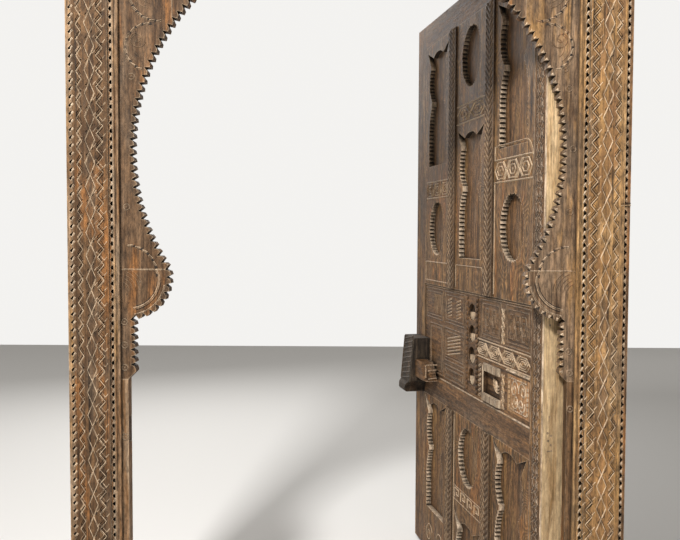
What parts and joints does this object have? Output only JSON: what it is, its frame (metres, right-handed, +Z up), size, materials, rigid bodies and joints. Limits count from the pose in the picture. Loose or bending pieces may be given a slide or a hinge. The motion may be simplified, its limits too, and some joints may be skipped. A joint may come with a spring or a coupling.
{
  "type": "arched wooden door with frame",
  "caption": "Carved wooden door frame with a toothed horseshoe arch and a swinging leaf of carved niches over boards, with wooden pintles and a wooden sliding bolt.",
  "frame": {"origin": "on the floor, on the centre line of the doorway, level with the front of the posts", "axes": "+Z up, -Y out of the carved front, +X to the right as seen from the front"},
  "size_m": [1.72, 1.45, 2.95],
  "materials": {
    "post_wood": "dark weathered hardwood, worn smooth",
    "casing_wood": "carved hardwood, dry and weathered, paler on worn edges",
    "arch_wood": "carved hardwood boards, dry, with dark recesses",
    "trim_wood": "notched hardwood strips, paler on worn edges",
    "sill_wood": "thick worn hardwood",
    "stile_wood": "dry hardwood with a pale ochre sawn edge",
    "board_wood": "plain dark boards",
    "panel_wood": "carved hardwood panels with a warm brown patina",
    "rail_wood": "carved and plain hardwood rails",
    "lock_wood": "dark handled hardwood",
    "bolt_wood": "paler worn hardwood"
  },
  "bodies": {
    "frame": {"post_right": "post_wood", "post_left": "post_wood", "head_beam": "post_wood", "head_rail": "post_wood", "sill": "sill_wood", "casing_right": "casing_wood", "casing_left": "casing_wood", "casing_head": "casing_wood", "outer_teeth_right": "trim_wood", "inner_teeth_right": "trim_wood", "bead_right": "trim_wood", "outer_teeth_left": "trim_wood", "inner_teeth_left": "trim_wood", "bead_left": "trim_wood", "outer_teeth_head": "trim_wood", "inner_teeth_head": "trim_wood", "bead_head": "trim_wood", "arch_board_centre": "arch_wood", "arch_board_left": "arch_wood", "arch_board_right": "arch_wood", "lobe_board_left": "arch_wood", "reveal_strip_left": "casing_wood", "lobe_board_right": "arch_wood", "reveal_strip_right": "casing_wood"},
    "leaf": {"hinge_stile": "stile_wood", "free_stile": "stile_wood", "back_board_1": "board_wood", "back_board_2": "board_wood", "back_board_3": "board_wood", "back_board_4": "board_wood", "batten_low": "board_wood", "batten_middle": "board_wood", "batten_high": "board_wood", "top_rail": "rail_wood", "mid_rail": "rail_wood", "lock_rail": "rail_wood", "muntin_lower_1": "rail_wood", "muntin_lower_2": "rail_wood", "niche_board_lower_1": "panel_wood", "niche_board_lower_2": "panel_wood", "niche_board_lower_3": "panel_wood", "muntin_upper_1": "rail_wood", "muntin_upper_2": "rail_wood", "niche_board_upper_1": "panel_wood", "niche_board_upper_2": "panel_wood", "niche_board_upper_3": "panel_wood", "lock_case": "lock_wood"},
    "bolt": {"draw_bolt": "bolt_wood"}
  },
  "joints": [
    {"name": "leaf_hinge", "type": "hinge", "parent": "frame", "child": "leaf", "pos_m": [0.64892, 0.10301, 0], "axis": [0, 0, 1], "range_deg": [-15, 78.3]},
    {"name": "bolt_slide", "type": "slide", "parent": "leaf", "child": "bolt", "axis": [-0.2028, 0.9792, 0], "range_m": [0, 0.085]}
  ]
}
